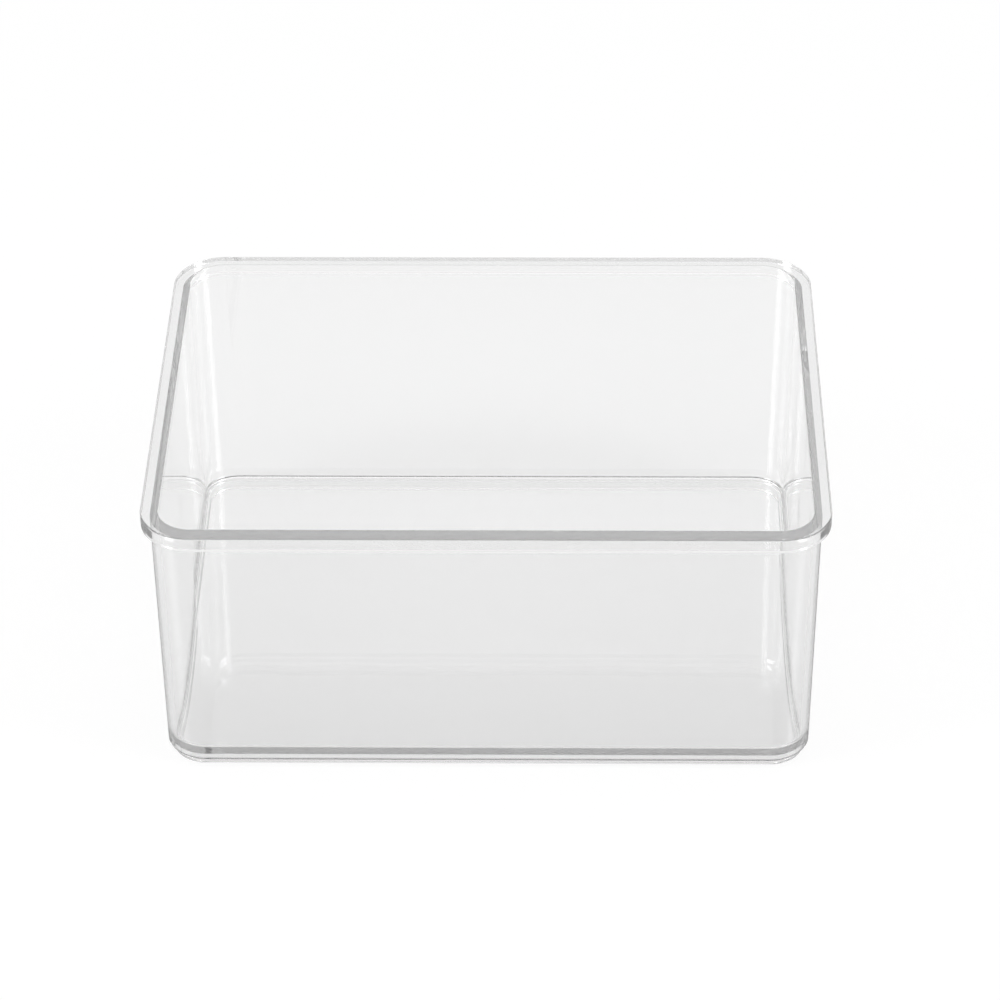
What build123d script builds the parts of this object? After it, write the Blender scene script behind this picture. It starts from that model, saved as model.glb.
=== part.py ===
from build123d import *

import os

# Stacking tray: one clear moulding with a flat rim flange, drafted walls and a stepped foot.
# Millimetres. The origin is the centre of the footprint on the table, +X runs to the right,
# +Y to the back and +Z up.

# Overall sizes, over the rim flange
width = 195.0
depth = 149.0
height = 84.6

# Rim flange, which stands out from the top of the walls
rim_overhang = 2.6
rim_thickness = 4.5
rim_corner_radius = 15.0
rim_edge_radius = 0.4

# Walls, which draw in towards the floor so that the moulding leaves its tool
wall = 2.4
draft_degrees = 0.64

# Floor, with a rounded seam where the inside walls meet it
floor_thickness = 2.5
floor_seam_radius = 1.6

# Foot ring, which drops into the opening of the tray below while the step above it rests on the rim
foot_height = 2.7
foot_wall = 2.0
foot_recess = 3.3
foot_edge_radius = 0.4
step_edge_radius = 0.2
nest_clearance = 0.25

# Outline of the walls' outer face at the rim
body_width = width - 2 * rim_overhang
body_depth = depth - 2 * rim_overhang
body_corner = rim_corner_radius - rim_overhang

# Outline of the opening, inside the walls at the rim
opening_width = body_width - 2 * wall
opening_depth = body_depth - 2 * wall
opening_corner = body_corner - wall

# Outline of the foot, which follows the opening all round, smaller by the clearance
foot_width = opening_width - 2 * nest_clearance
foot_depth = opening_depth - 2 * nest_clearance
foot_corner = opening_corner - nest_clearance

# Heights that follow from the rest
wall_height = height - foot_height
cavity_depth = height - foot_recess - floor_thickness

# Inside of the tray, with the walls' draft, corners of one radius from rim to floor and a rounded seam
with BuildPart() as inside:
    with BuildSketch(Plane.XY.offset(height)):
        Rectangle(opening_width, opening_depth)
    extrude(amount=-cavity_depth, taper=draft_degrees)
    fillet(inside.edges().group_by(Axis.Z)[1], opening_corner)
    floor = inside.faces().sort_by(Axis.Z)[0]
    fillet(floor.edges(), floor_seam_radius)

with BuildPart() as tray:
    # Outer form of the walls, from the rim down to the step, with corners of one radius too
    with BuildSketch(Plane.XY.offset(height)):
        Rectangle(body_width, body_depth)
    extrude(amount=-wall_height, taper=draft_degrees)
    fillet(tray.edges().group_by(Axis.Z)[1], body_corner)
    step = tray.faces().sort_by(Axis.Z)[0]
    fillet(step.edges(), step_edge_radius)

    # Rim flange, with a small radius on both of its outer edges
    with BuildSketch(Plane.XY.offset(height)):
        RectangleRounded(width, depth, rim_corner_radius)
    extrude(amount=-rim_thickness)
    flange_faces = tray.faces(Select.LAST).filter_by(Axis.Z).sort_by(Axis.Z)
    flange_edges = flange_faces[0].outer_wire().edges() + flange_faces[-1].outer_wire().edges()
    fillet(flange_edges, rim_edge_radius)

    # Foot, up to the step
    with BuildSketch(Plane.XY):
        RectangleRounded(foot_width, foot_depth, foot_corner)
    extrude(amount=foot_height)

    # Inside, open at the top, with a small radius round the rim's inner edge
    add(inside.part, mode=Mode.SUBTRACT)
    rim_top = tray.faces().sort_by(Axis.Z)[-1]
    fillet(rim_top.inner_wires().edges(), rim_edge_radius)

    # Recess under the floor, which leaves the foot as a ring with both of its lower edges rounded
    with BuildSketch(Plane.XY):
        RectangleRounded(foot_width - 2 * foot_wall, foot_depth - 2 * foot_wall, foot_corner - foot_wall)
    extrude(amount=foot_recess, mode=Mode.SUBTRACT)
    foot_base = tray.faces().sort_by(Axis.Z)[0]
    fillet(foot_base.edges(), foot_edge_radius)

tray.part.label = "tray"
os.makedirs("parts", exist_ok=True)
export_step(tray.part, "parts/tray.step")
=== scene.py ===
"""Clear stacking tray: the visible moulding, its finish, and the studio it stands in."""
import math

import bpy
from mathutils import Matrix, Vector


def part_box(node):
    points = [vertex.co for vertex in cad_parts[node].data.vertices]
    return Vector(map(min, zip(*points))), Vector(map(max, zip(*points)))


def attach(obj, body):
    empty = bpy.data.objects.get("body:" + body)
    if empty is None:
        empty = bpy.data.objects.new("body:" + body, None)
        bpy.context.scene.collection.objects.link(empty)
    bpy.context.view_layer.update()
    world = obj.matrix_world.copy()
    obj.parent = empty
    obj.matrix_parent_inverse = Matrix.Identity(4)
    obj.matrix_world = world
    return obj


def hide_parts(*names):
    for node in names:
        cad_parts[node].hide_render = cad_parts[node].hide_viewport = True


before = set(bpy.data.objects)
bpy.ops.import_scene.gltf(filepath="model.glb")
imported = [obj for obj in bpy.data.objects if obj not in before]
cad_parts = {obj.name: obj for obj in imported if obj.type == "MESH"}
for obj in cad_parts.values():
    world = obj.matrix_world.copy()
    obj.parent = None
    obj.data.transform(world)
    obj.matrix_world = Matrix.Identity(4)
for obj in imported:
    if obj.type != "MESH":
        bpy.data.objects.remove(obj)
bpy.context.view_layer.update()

bl_info = {
    "name": "Clear stacking tray",
    "version": (1, 0, 0),
    "blender": (4, 5, 0),
    "location": "3D View > Sidebar > Tray",
    "description": "Makes a clear moulded stacking tray and a plain studio round it",
    "category": "Object",
}

MM = 0.001
SENSOR_MM = 36.0

# The swept wall stops this far from the corners' axis, where the flat floor takes over
FLOOR_CORNER = 1.0 * MM

# Points nearer than this are one point
MERGE = 0.001 * MM

# Edges that turn more than this stay sharp
SHARP = math.radians(50)

# Noise scales, per metre: the moulding's slow waves, the uneven polish and the grain of the rub marks
WAVE_SCALE = 45.0
POLISH_SCALE = 120.0
SCUFF_SCALE = 420.0

# The rub marks reach from this far inside the rim's top or the foot's underside to this near it
SCUFF_FAR = 0.3 * MM
SCUFF_NEAR = 0.05 * MM

# How often light may scatter in the plastic's haze
HAZE_BOUNCES = 4

# The overhead soft box, and the height and distance of the two strip boxes
SOFTBOX_PLACE = Vector((0.0, 0.1, 1.6))
SOFTBOX_WIDTH = 1.6
SOFTBOX_HEIGHT = 1.2
STRIP_HEIGHT = 0.9
STRIP_AWAY = 1.2

# How near a direction is to the key's, as a cosine, where its light begins
KEY_EDGE = 0.3

# The floor's half width, its own grey, and how far it lies below the foot, so that they don't touch
FLOOR_HALF = 2.0
FLOOR_GREY = (0.92, 0.92, 0.92, 1.0)
FLOOR_DROP = 0.1 * MM
FLOOR_ROUGHNESS = 0.06

# Where along the floor, from front to back, its white as seen through the plastic changes: painted shade,
# darker in front of the tray
PAINTED_SHADE_FRONT_TO_UNDER = (-0.18, 0.05)
PAINTED_SHADE_UNDER_TO_BACK = (0.065, 0.085)

# The colour of all light and of the whites that are seen
WHITE = (1.0, 1.0, 1.0, 1.0)


class TraySizes(bpy.types.PropertyGroup):
    """The moulding's sizes, in metres."""

    rim_overhang: bpy.props.FloatProperty(
        name="Rim overhang", description="How far the flange stands out from the wall",
        default=2.6 * MM, unit="LENGTH")
    rim_thickness: bpy.props.FloatProperty(
        name="Rim thickness", description="Height of the flange's edge",
        default=4.5 * MM, unit="LENGTH")
    corner_radius: bpy.props.FloatProperty(
        name="Corner radius", description="Radius of the flange's corners, seen from above",
        default=15.0 * MM, unit="LENGTH")
    wall: bpy.props.FloatProperty(
        name="Wall", description="Thickness of the walls",
        default=2.4 * MM, unit="LENGTH")
    draft: bpy.props.FloatProperty(
        name="Draft", description="How far the walls lean out from upright",
        default=math.radians(0.64), subtype="ANGLE")
    floor_thickness: bpy.props.FloatProperty(
        name="Floor thickness", description="Thickness of the tray's floor",
        default=2.5 * MM, unit="LENGTH")
    floor_seam_radius: bpy.props.FloatProperty(
        name="Floor seam radius", description="Radius where the inside walls meet the floor",
        default=1.6 * MM, unit="LENGTH")
    foot_height: bpy.props.FloatProperty(
        name="Foot height", description="Height of the step above the table",
        default=2.7 * MM, unit="LENGTH")
    foot_wall: bpy.props.FloatProperty(
        name="Foot wall", description="Thickness of the foot ring",
        default=2.0 * MM, unit="LENGTH")
    foot_recess: bpy.props.FloatProperty(
        name="Foot recess", description="Height of the floor's underside above the table",
        default=3.3 * MM, unit="LENGTH")
    nest_clearance: bpy.props.FloatProperty(
        name="Nest clearance", description="Gap between the foot and the opening of the tray below",
        default=0.25 * MM, unit="LENGTH")
    rim_edge_radius: bpy.props.FloatProperty(
        name="Rim edge radius", description="Radius on the flange's edges",
        default=0.4 * MM, unit="LENGTH")
    step_edge_radius: bpy.props.FloatProperty(
        name="Step edge radius", description="Radius on the step's outer edge",
        default=0.2 * MM, unit="LENGTH")
    foot_edge_radius: bpy.props.FloatProperty(
        name="Foot edge radius", description="Radius on the foot ring's lower edges",
        default=0.4 * MM, unit="LENGTH")
    corner_steps: bpy.props.IntProperty(
        name="Corner steps", description="Faces round each corner", default=36, min=4)
    edge_steps: bpy.props.IntProperty(
        name="Edge steps", description="Faces across each small radius", default=6, min=2)


class TrayFinish(bpy.types.PropertyGroup):
    """How the clear moulding looks."""

    tint: bpy.props.FloatVectorProperty(
        name="Tint", description="Colour of light that has passed through the moulding",
        default=(0.99, 0.99, 0.99), subtype="COLOR", size=3, min=0, max=1)
    bend: bpy.props.FloatProperty(
        name="Index of refraction", description="How strongly the styrene bends light", default=1.57)
    polish: bpy.props.FloatProperty(
        name="Polish", description="Roughness of the polished faces", default=0.01, min=0, max=1)
    rubbed: bpy.props.FloatProperty(
        name="Rubbed", description="Roughness of the scuffs on the rim and under the foot",
        default=0.08, min=0, max=1)
    ripple: bpy.props.FloatProperty(
        name="Ripple", description="Depth of the slow waves in the faces, too shallow to see from far off",
        default=0.015 * MM, unit="LENGTH")
    haze: bpy.props.FloatProperty(
        name="Haze", description="How fast light is lost inside the plastic, per metre of its way",
        default=8.0, min=0)
    cloud: bpy.props.FloatVectorProperty(
        name="Cloud", description="How much of the light lost to haze is scattered again",
        default=(0.52, 0.52, 0.52), subtype="COLOR", size=3, min=0, max=1)


class StudioLook(bpy.types.PropertyGroup):
    """The floor, the light and the camera.

    The whites seen in and through the plastic were set by comparing renders with the photograph.
    They fit this camera's angle.
    """

    lens_mm: bpy.props.FloatProperty(
        name="Lens", description="Focal length on a 36 mm wide sensor", default=141.32)
    elevation: bpy.props.FloatProperty(
        name="Elevation", description="How steeply the camera looks down",
        default=math.radians(35.445), subtype="ANGLE")
    turn: bpy.props.FloatProperty(
        name="Turn", description="How far the camera is turned to its left of straight ahead",
        default=math.radians(1.083), subtype="ANGLE")
    roll: bpy.props.FloatProperty(
        name="Roll", description="How far the camera leans to its right",
        default=math.radians(-0.493), subtype="ANGLE")
    distance: bpy.props.FloatProperty(
        name="Distance", description="From the camera to the point that it aims at",
        default=1.0933, unit="LENGTH")
    aim: bpy.props.FloatVectorProperty(
        name="Aim", description="The point in the middle of the picture",
        default=(0.00423, -0.06788, 0.09366), subtype="TRANSLATION", size=3)
    bounces: bpy.props.IntProperty(
        name="Bounces", description="How often light may turn inside the walls before it is given up",
        default=512, min=8)
    key_way: bpy.props.FloatVectorProperty(
        name="Key direction", description="Where the strongest light comes from",
        default=(0.0, -0.5, 0.866), subtype="DIRECTION", size=3)
    key: bpy.props.FloatProperty(
        name="Key", description="Strength of the light from the key direction", default=0.9, min=0)
    fill: bpy.props.FloatProperty(
        name="Fill", description="Strength of the light from all round", default=0.5, min=0)
    softbox_watts: bpy.props.FloatProperty(
        name="Soft box", description="Power of the soft box overhead", default=2.0, min=0)
    strip_watts: bpy.props.FloatProperty(
        name="Strip boxes", description="Power of each of the two strip boxes in front",
        default=5.5, min=0)
    strip_width: bpy.props.FloatProperty(
        name="Strip box width", description="Width of each strip box",
        default=0.34, unit="LENGTH")
    strip_turn: bpy.props.FloatProperty(
        name="Strip box turn", description="How far round from the front each strip box stands",
        default=math.radians(68), subtype="ANGLE")
    strip_rise: bpy.props.FloatProperty(
        name="Strip box rise", description="How high the middle of each strip box stands",
        default=math.radians(40), subtype="ANGLE")
    floor_gloss: bpy.props.FloatProperty(
        name="Floor gloss", description="How strongly the floor mirrors, as seen in and through the plastic",
        default=0.08, min=0, max=1)
    white_seen: bpy.props.FloatProperty(
        name="White floor", description="How white the floor is to the camera, whatever light falls on it",
        default=0.92, min=0, max=1)
    white_inside: bpy.props.FloatProperty(
        name="White inside", description="The same for what is seen in and through the plastic",
        default=0.85, min=0, max=1)
    # Painted shade: the floor's white as seen through the plastic, darker in front of the tray than under and
    # behind it
    front_floor_painted_shade: bpy.props.FloatProperty(
        name="Front floor", description="White of the floor in front, as seen through the plastic",
        default=0.7, min=0, max=1)
    under_floor_painted_shade: bpy.props.FloatProperty(
        name="Floor underneath", description="White of the floor under the tray, as seen through the plastic",
        default=0.88, min=0, max=1)
    back_floor_painted_shade: bpy.props.FloatProperty(
        name="Back floor", description="White of the floor behind, as seen through the plastic",
        default=0.875, min=0, max=1)
    mirrored_floor: bpy.props.FloatProperty(
        name="Mirrored floor", description="White of the floor in the plastic's reflections",
        default=0.4, min=0, max=1)
    mirrored_sky: bpy.props.FloatProperty(
        name="Mirrored backdrop", description="White of the backdrop in the plastic's reflections",
        default=0.45, min=0, max=1)


class Wire:
    """A node's output, which stands in Python expressions: each sum adds its Math node."""

    def __init__(self, tree, socket):
        self.tree = tree
        self.socket = socket

    def __getitem__(self, name):
        """Another output of the same node."""
        return Wire(self.tree, self.socket.node.outputs[name])

    def __add__(self, other):
        return maths(self.tree, "ADD", self, other)

    def __sub__(self, other):
        return maths(self.tree, "SUBTRACT", self, other)

    def __rsub__(self, other):
        return maths(self.tree, "SUBTRACT", other, self)

    def __mul__(self, other):
        return maths(self.tree, "MULTIPLY", self, other)

    def __truediv__(self, other):
        return maths(self.tree, "DIVIDE", self, other)

    def __or__(self, other):
        """The larger of two masks."""
        return maths(self.tree, "MAXIMUM", self, other)

    __radd__ = __add__
    __rmul__ = __mul__


def feed(tree, socket, value):
    """Links a wire to a socket, or sets the socket's own value."""
    if isinstance(value, Wire):
        tree.links.new(value.socket, socket)
    else:
        socket.default_value = value


def maths(tree, operation, *values):
    """One Math node on these values and wires."""
    node = tree.nodes.new("ShaderNodeMath")
    node.operation = operation
    for socket, value in zip(node.inputs, values):
        feed(tree, socket, value)
    return Wire(tree, node.outputs[0])


def add(tree, kind, settings=None, **sockets):
    """One node of any kind: its settings are set first, then its sockets, by name."""
    node = tree.nodes.new(kind)
    for name, value in (settings or {}).items():
        setattr(node, name, value)
    for name, value in sockets.items():
        wanted = name.replace("_", " ").lower()
        found = [socket for socket in node.inputs if socket.enabled and socket.name.lower() == wanted]
        if not found:
            raise KeyError(f"{kind} has no input {name!r}")
        feed(tree, found[0], value)
    return Wire(tree, node.outputs[0]) if node.outputs else None


def profile_corners(sizes, height):
    """The tray's cross-section from the floor's seam over the rim and under the foot, as corners.

    Each corner is (distance in from the rim's outer edge, height, radius, share of the draft). The
    walls are upright here, and the sweep leans them. The run starts and ends a little outside the
    corners' axis, where the flat floor takes over.
    """
    wall_out = sizes.rim_overhang
    wall_in = wall_out + sizes.wall
    foot_out = wall_in + sizes.nest_clearance
    foot_in = foot_out + sizes.foot_wall
    floor_edge = sizes.corner_radius - FLOOR_CORNER
    floor_top = sizes.foot_recess + sizes.floor_thickness
    rim_low = height - sizes.rim_thickness
    return (
        (floor_edge, floor_top, 0.0, 1.0),
        (wall_in, floor_top, sizes.floor_seam_radius, 1.0),
        (wall_in, height, sizes.rim_edge_radius, 1.0),
        (0.0, height, sizes.rim_edge_radius, 0.0),
        (0.0, rim_low, sizes.rim_edge_radius, 0.0),
        (wall_out, rim_low, 0.0, 1.0),
        (wall_out, sizes.foot_height, sizes.step_edge_radius, 1.0),
        (foot_out, sizes.foot_height, 0.0, 0.0),
        (foot_out, 0.0, sizes.foot_edge_radius, 0.0),
        (foot_in, 0.0, sizes.foot_edge_radius, 0.0),
        (foot_in, sizes.foot_recess, 0.0, 0.0),
        (floor_edge, sizes.foot_recess, 0.0, 0.0),
    )


def make_profile(corners):
    """The cross-section as an unrounded curve.

    A point's radius is its corner's, and its tilt is its share of the draft.
    """
    curve = bpy.data.curves.new("tray_profile", "CURVE")
    curve.dimensions = "3D"
    spline = curve.splines.new("POLY")
    spline.points.add(len(corners) - 1)
    for point, (inset, level, radius, leaning) in zip(spline.points, corners):
        point.co = (-inset, -level, 0.0, 1.0)
        point.radius = radius
        point.tilt = leaning
    profile = bpy.data.objects.new("tray_profile", curve)
    bpy.context.scene.collection.objects.link(profile)
    return profile


def drawn_in(tree, given, place, leaning):
    """How far the draft moves a point of the upright sweep, so that the corners keep their radius."""
    slope = given["Slope"] * (given["Height"] - place["Z"]) * leaning
    moves = []
    for axis, across in (("X", "Width"), ("Y", "Depth")):
        centre = given[across] * 0.5 - given["Corner radius"]
        side = add(tree, "ShaderNodeClamp", value=place[axis] / centre, min=-1.0, max=1.0)
        moves.append(side * slope * -1.0)
    return add(tree, "ShaderNodeCombineXYZ", x=moves[0], y=moves[1])


def sweep_tree():
    """Geometry Nodes that sweep a rounded profile round a rectangle and close both sides of the floor."""
    tree = bpy.data.node_groups.new("tray_sweep", "GeometryNodeTree")
    tree.interface.new_socket("Geometry", in_out="OUTPUT", socket_type="NodeSocketGeometry")
    for name, kind in (
        ("Width", "NodeSocketFloat"), ("Depth", "NodeSocketFloat"), ("Height", "NodeSocketFloat"),
        ("Slope", "NodeSocketFloat"), ("Corner radius", "NodeSocketFloat"),
        ("Corner steps", "NodeSocketInt"), ("Edge steps", "NodeSocketInt"),
        ("Profile", "NodeSocketObject"), ("Floor top", "NodeSocketFloat"),
        ("Floor underside", "NodeSocketFloat"), ("Material", "NodeSocketMaterial"),
    ):
        tree.interface.new_socket(name, in_out="INPUT", socket_type=kind)
    given = add(tree, "NodeGroupInput")

    rectangle = add(tree, "GeometryNodeCurvePrimitiveQuadrilateral", {"mode": "RECTANGLE"},
                    width=given["Width"], height=given["Depth"])
    outline = add(tree, "GeometryNodeFilletCurve", {"mode": "POLY"}, curve=rectangle,
                  count=given["Corner steps"], radius=given["Corner radius"])
    section = add(tree, "GeometryNodeObjectInfo", object=given["Profile"])
    rounded = add(tree, "GeometryNodeFilletCurve", {"mode": "POLY"}, curve=section["Geometry"],
                  count=given["Edge steps"], radius=add(tree, "GeometryNodeInputRadius"))
    marked = add(tree, "GeometryNodeStoreNamedAttribute", {"data_type": "FLOAT"}, geometry=rounded,
                 name="leaning", value=add(tree, "GeometryNodeInputCurveTilt"))
    upright = add(tree, "GeometryNodeCurveToMesh", curve=outline, profile_curve=marked)
    place = add(tree, "ShaderNodeSeparateXYZ", vector=add(tree, "GeometryNodeInputPosition"))
    leaning = add(tree, "GeometryNodeInputNamedAttribute", {"data_type": "FLOAT"}, name="leaning")
    walls = add(tree, "GeometryNodeSetPosition", geometry=upright,
                offset=drawn_in(tree, given, place, leaning))

    # The two open edges of the swept wall are the floor's outlines, above and below
    open_edge = add(tree, "FunctionNodeCompare", {"data_type": "INT", "operation": "EQUAL"},
                    a=add(tree, "GeometryNodeInputMeshEdgeNeighbors"), b=1)
    loops = add(tree, "GeometryNodeMeshToCurve", mesh=walls, selection=open_edge)
    upper = add(tree, "FunctionNodeCompare", {"data_type": "FLOAT", "operation": "GREATER_THAN"},
                a=place["Z"], b=(given["Floor top"] + given["Floor underside"]) * 0.5)
    sides = add(tree, "GeometryNodeSeparateGeometry", geometry=loops, selection=upper)
    floors = []
    for loop, height in (("Selection", "Floor top"), ("Inverted", "Floor underside")):
        flat = add(tree, "GeometryNodeFillCurve", {"mode": "NGONS"}, curve=sides[loop])
        lift = add(tree, "ShaderNodeCombineXYZ", z=given[height])
        floors.append(add(tree, "GeometryNodeSetPosition", geometry=flat, offset=lift))
    underside = add(tree, "GeometryNodeFlipFaces", mesh=floors[1])

    joined = add(tree, "GeometryNodeJoinGeometry")
    for part in (underside, floors[0], walls):
        tree.links.new(part.socket, joined.socket.node.inputs[0])
    merged = add(tree, "GeometryNodeMergeByDistance", geometry=joined, distance=MERGE)
    bare = add(tree, "GeometryNodeRemoveAttribute", geometry=merged, name="leaning")
    smooth = add(tree, "GeometryNodeSetShadeSmooth", geometry=bare)
    real = add(tree, "GeometryNodeRealizeInstances", geometry=smooth)
    finished = add(tree, "GeometryNodeSetMaterial", geometry=real, material=given["Material"])
    add(tree, "NodeGroupOutput", geometry=finished)
    return tree


def grown_mesh(name, tree, values):
    """The plain mesh that a Geometry Nodes tree makes from these values."""
    holder = bpy.data.objects.new(name, bpy.data.meshes.new(name))
    bpy.context.scene.collection.objects.link(holder)
    modifier = holder.modifiers.new("nodes", "NODES")
    modifier.node_group = tree
    for item in tree.interface.items_tree:
        if item.item_type == "SOCKET" and item.in_out == "INPUT":
            modifier[item.identifier] = values[item.name]
    bpy.context.view_layer.update()
    ready = holder.evaluated_get(bpy.context.evaluated_depsgraph_get())
    mesh = bpy.data.meshes.new_from_object(ready)
    holder.modifiers.remove(modifier)
    bpy.data.objects.remove(holder)
    mesh.name = name
    return mesh


def blank_material(name):
    """A new material with an empty node tree."""
    material = bpy.data.materials.new(name)
    material.use_nodes = True
    material.node_tree.nodes.clear()
    return material


def faded(tree, value, start, end, low=0.0, high=1.0):
    """A smooth change from low to high while the value goes from start to end."""
    return add(tree, "ShaderNodeMapRange", {"interpolation_type": "SMOOTHSTEP"}, value=value,
               from_min=start, from_max=end, to_min=low, to_max=high)


def scuffs(tree, place, level, height):
    """A mask of fine rub marks on the rim's top and under the foot."""
    stretched = add(tree, "ShaderNodeMapping", vector=place, scale=(1.0, 3.0, 1.0))
    grain = add(tree, "ShaderNodeTexNoise", vector=stretched, scale=SCUFF_SCALE, detail=5.0, roughness=0.7)
    top = faded(tree, level, height - SCUFF_FAR, height - SCUFF_NEAR)
    bottom = faded(tree, level, SCUFF_NEAR, SCUFF_FAR, 1.0, 0.0)
    return faded(tree, grain, 0.5, 0.72) * (top | bottom)


def clear_styrene(finish, height):
    """Polished clear styrene, which takes a little of the light that runs along inside it."""
    material = blank_material("clear_styrene")
    tree = material.node_tree
    place = add(tree, "ShaderNodeTexCoord")["Object"]
    level = add(tree, "ShaderNodeSeparateXYZ", vector=place)["Z"]
    waves = add(tree, "ShaderNodeTexNoise", vector=place, scale=WAVE_SCALE, detail=1.0)
    cloudy = add(tree, "ShaderNodeTexNoise", vector=place, scale=POLISH_SCALE, detail=4.0)
    rubbed = scuffs(tree, place, level, height) * finish.rubbed
    roughness = cloudy * 2.0 * finish.polish + rubbed
    body = add(tree, "ShaderNodeBsdfPrincipled", base_color=(*finish.tint, 1.0), ior=finish.bend,
               roughness=roughness, transmission_weight=1.0,
               normal=add(tree, "ShaderNodeBump", height=waves, distance=finish.ripple))
    depth = add(tree, "ShaderNodeVolumePrincipled", color=(*finish.cloud, 1.0), density=finish.haze)
    add(tree, "ShaderNodeOutputMaterial", surface=body, volume=depth)
    return material


class TRAY_OT_make_moulding(bpy.types.Operator):
    """Make the tray's moulding in place of the plain one"""

    bl_idname = "tray.make_moulding"
    bl_label = "Make moulding"

    def execute(self, context):
        sizes = context.scene.tray_sizes
        low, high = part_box("tray")
        height = high.z - low.z
        profile = make_profile(profile_corners(sizes, height))
        mesh = grown_mesh("tray_moulding", sweep_tree(), {
            "Width": high.x - low.x,
            "Depth": high.y - low.y,
            "Height": height,
            "Slope": math.tan(sizes.draft),
            "Corner radius": sizes.corner_radius,
            "Corner steps": sizes.corner_steps,
            "Edge steps": sizes.edge_steps,
            "Profile": profile,
            "Floor top": sizes.foot_recess + sizes.floor_thickness,
            "Floor underside": sizes.foot_recess,
            "Material": clear_styrene(context.scene.tray_finish, height),
        })
        bpy.data.objects.remove(profile)
        mesh.set_sharp_from_angle(angle=SHARP)
        moulding = bpy.data.objects.new("tray_moulding", mesh)
        context.scene.collection.objects.link(moulding)
        shading = moulding.modifiers.new("flat faces stay flat", "WEIGHTED_NORMAL")
        shading.keep_sharp = True
        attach(moulding, "root")
        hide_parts("tray")
        return {"FINISHED"}


class TRAY_OT_make_studio(bpy.types.Operator):
    """Make the floor, the light and the camera"""

    bl_idname = "tray.make_studio"
    bl_label = "Make studio"

    def execute(self, context):
        look = context.scene.studio_look
        scene = context.scene
        scene.view_settings.view_transform = "Standard"
        make_camera(look)
        scene.cycles.max_bounces = look.bounces
        scene.cycles.transmission_bounces = look.bounces
        scene.cycles.glossy_bounces = look.bounces
        scene.cycles.volume_bounces = HAZE_BOUNCES
        make_world(look)
        make_lamps(look)
        make_floor(look)
        return {"FINISHED"}


def make_camera(look):
    """A long lens at the photograph's angle."""
    turn, down, roll = look.turn, look.elevation, look.roll
    ahead = Vector((-math.sin(turn) * math.cos(down), math.cos(turn) * math.cos(down), -math.sin(down)))
    across = Vector((math.cos(turn), math.sin(turn), 0.0))
    above = Vector((-math.sin(turn) * math.sin(down), math.cos(turn) * math.sin(down), math.cos(down)))
    right = across * math.cos(roll) + above * math.sin(roll)
    up = above * math.cos(roll) - across * math.sin(roll)
    camera = bpy.data.objects.new("camera", bpy.data.cameras.new("camera"))
    camera.data.sensor_width = SENSOR_MM
    camera.data.lens = look.lens_mm
    camera.data.clip_start = 0.01
    place = Matrix((right, up, -ahead)).transposed().to_4x4()
    place.translation = Vector(look.aim) - ahead * look.distance
    camera.matrix_world = place
    bpy.context.scene.collection.objects.link(camera)
    bpy.context.scene.camera = camera


def sorted_rays(tree):
    """Masks for the rays that see the background: direct, through the plastic, and mirrored by it.

    Rays that have left a dull surface carry the light itself, and aren't among them.
    """
    ray = add(tree, "ShaderNodeLightPath")
    first = 1.0 - ray["Diffuse Depth"]
    through = ray["Is Transmission Ray"] * first
    mirrored = ray["Is Glossy Ray"] * (1.0 - ray["Is Transmission Ray"]) * first
    return ray["Is Camera Ray"], through, mirrored


def two_shaders(tree, kind, first, second, **sockets):
    """A Mix Shader or an Add Shader, whose two shader sockets share one name."""
    both = add(tree, kind, **sockets)
    shaders = [socket for socket in both.socket.node.inputs if socket.type == "SHADER"]
    feed(tree, shaders[0], first)
    feed(tree, shaders[1], second)
    return both


def make_world(look):
    """Soft light from all round, strongest from above and in front."""
    world = bpy.data.worlds.new("studio")
    world.use_nodes = True
    tree = world.node_tree
    tree.nodes.clear()
    way = add(tree, "ShaderNodeTexCoord")["Generated"]
    nearness = add(tree, "ShaderNodeVectorMath", {"operation": "DOT_PRODUCT"})
    feed(tree, nearness.socket.node.inputs[0], way)
    feed(tree, nearness.socket.node.inputs[1], look.key_way)
    strength = faded(tree, nearness["Value"], KEY_EDGE, 1.0, look.fill, look.key)
    light = add(tree, "ShaderNodeBackground", color=WHITE, strength=strength)
    direct, through, mirrored = sorted_rays(tree)
    white = add(tree, "ShaderNodeBackground", color=WHITE,
                strength=direct + through + mirrored * look.mirrored_sky)
    either = two_shaders(tree, "ShaderNodeMixShader", light, white,
                         fac=direct + (through + mirrored) * look.white_inside)
    add(tree, "ShaderNodeOutputWorld", surface=either)
    bpy.context.scene.world = world


def add_box(name, place, width, height, watts):
    """One rectangular soft box that faces the tray."""
    lamp = bpy.data.lights.new(name, "AREA")
    lamp.shape = "RECTANGLE"
    lamp.size, lamp.size_y = width, height
    lamp.energy = watts
    box = bpy.data.objects.new(name, lamp)
    box.location = place
    box.rotation_euler = (-place).to_track_quat("-Z", "Y").to_euler()
    bpy.context.scene.collection.objects.link(box)


def make_lamps(look):
    """One wide soft box overhead, and a tall strip box on each side of the camera."""
    add_box("softbox", SOFTBOX_PLACE, SOFTBOX_WIDTH, SOFTBOX_HEIGHT, look.softbox_watts)
    level = STRIP_AWAY * math.cos(look.strip_rise)
    for name, side in (("strip_left", -1.0), ("strip_right", 1.0)):
        place = Vector((side * level * math.sin(look.strip_turn), -level * math.cos(look.strip_turn),
                        STRIP_AWAY * math.sin(look.strip_rise)))
        add_box(name, place, look.strip_width, STRIP_HEIGHT, look.strip_watts)


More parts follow.
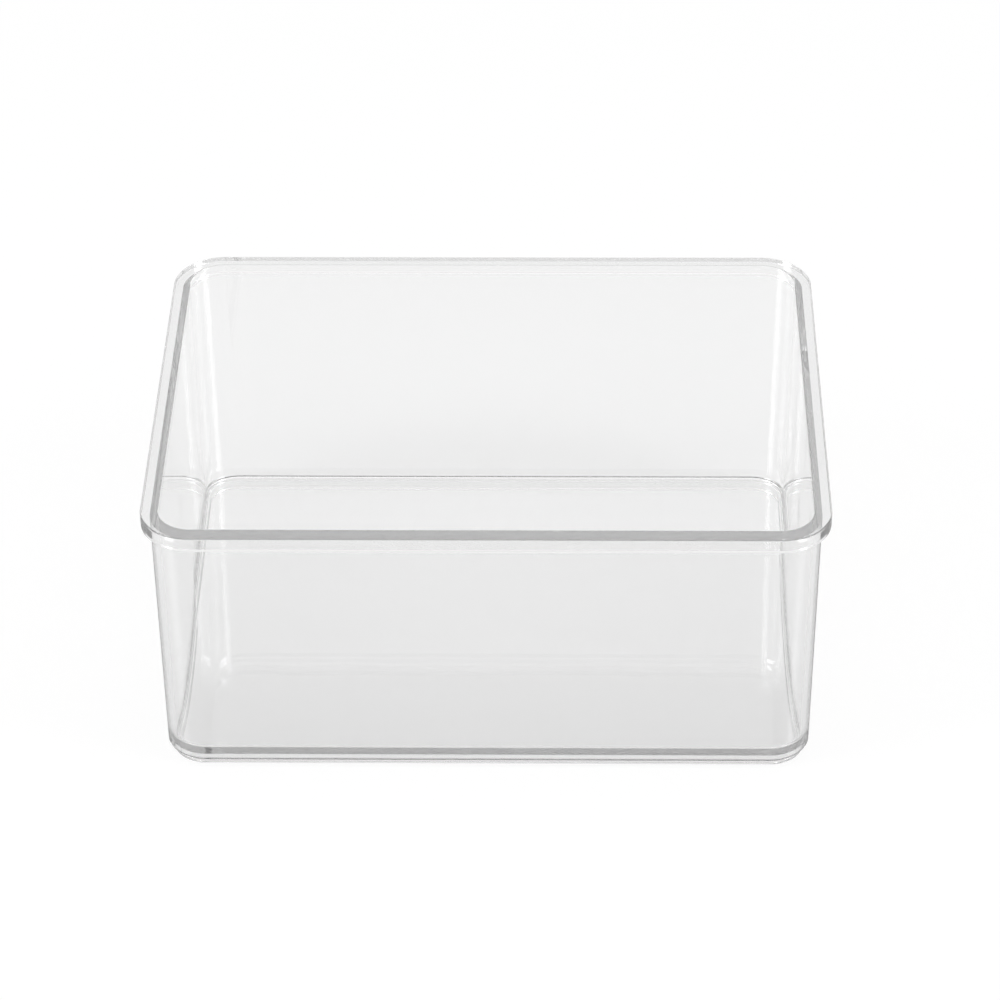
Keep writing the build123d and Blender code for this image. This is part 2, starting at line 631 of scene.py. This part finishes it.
def floor_paper(look):
    """Pale paper, whose white differs for what is seen straight on, through the plastic and mirrored; seen
    through the plastic it carries painted shade, darker in front of the tray than under and behind it.
    """
    material = blank_material("floor")
    tree = material.node_tree
    paper = add(tree, "ShaderNodeBsdfDiffuse", color=FLOOR_GREY)
    along = add(tree, "ShaderNodeSeparateXYZ", vector=add(tree, "ShaderNodeTexCoord")["Object"])["Y"]
    # Painted shade graded along the floor: darker in front of the tray, and a little darker behind it than
    # under it
    painted_shade_to_under = faded(tree, along, *PAINTED_SHADE_FRONT_TO_UNDER, look.front_floor_painted_shade, look.under_floor_painted_shade)
    painted_shade_to_back = faded(tree, along, *PAINTED_SHADE_UNDER_TO_BACK, 0.0, look.back_floor_painted_shade - look.under_floor_painted_shade)
    direct, through, mirrored = sorted_rays(tree)
    white = add(tree, "ShaderNodeEmission", color=WHITE,
                strength=direct + through * (painted_shade_to_under + painted_shade_to_back) + mirrored * look.mirrored_floor)
    either = two_shaders(tree, "ShaderNodeMixShader", paper, white,
                         fac=direct * look.white_seen + (through + mirrored) * look.white_inside)
    gloss = add(tree, "ShaderNodeBsdfAnisotropic", roughness=FLOOR_ROUGHNESS,
                color=(through + mirrored) * look.floor_gloss)
    glossy = two_shaders(tree, "ShaderNodeAddShader", either, gloss)
    add(tree, "ShaderNodeOutputMaterial", surface=glossy)
    return material


def make_floor(look):
    """A wide plain floor that is white to the camera and keeps a faint shadow."""
    mesh = bpy.data.meshes.new("floor")
    half = FLOOR_HALF
    corners = [(-half, -half, 0), (half, -half, 0), (half, half, 0), (-half, half, 0)]
    mesh.from_pydata(corners, [], [(0, 1, 2, 3)])
    floor = bpy.data.objects.new("floor", mesh)
    bpy.context.scene.collection.objects.link(floor)
    floor.location.z = -FLOOR_DROP
    mesh.materials.append(floor_paper(look))


class TRAY_PT_sidebar(bpy.types.Panel):
    """Lists the tray's operators and sizes"""

    bl_idname = "TRAY_PT_sidebar"
    bl_label = "Stacking tray"
    bl_space_type = "VIEW_3D"
    bl_region_type = "UI"
    bl_category = "Tray"

    def draw(self, context):
        layout = self.layout
        layout.operator(TRAY_OT_make_moulding.bl_idname)
        layout.operator(TRAY_OT_make_studio.bl_idname)
        for group in (context.scene.tray_sizes, context.scene.tray_finish, context.scene.studio_look):
            box = layout.box()
            for name in group.bl_rna.properties.keys():
                if name not in ("rna_type", "name"):
                    box.prop(group, name)


CLASSES = (TraySizes, TrayFinish, StudioLook, TRAY_OT_make_moulding, TRAY_OT_make_studio, TRAY_PT_sidebar)


def register():
    for cls in CLASSES:
        bpy.utils.register_class(cls)
    bpy.types.Scene.tray_sizes = bpy.props.PointerProperty(type=TraySizes)
    bpy.types.Scene.tray_finish = bpy.props.PointerProperty(type=TrayFinish)
    bpy.types.Scene.studio_look = bpy.props.PointerProperty(type=StudioLook)


def unregister():
    del bpy.types.Scene.studio_look
    del bpy.types.Scene.tray_finish
    del bpy.types.Scene.tray_sizes
    for cls in reversed(CLASSES):
        bpy.utils.unregister_class(cls)


def main():
    register()
    bpy.ops.tray.make_moulding()
    bpy.ops.tray.make_studio()


if __name__ == "__main__":
    main()
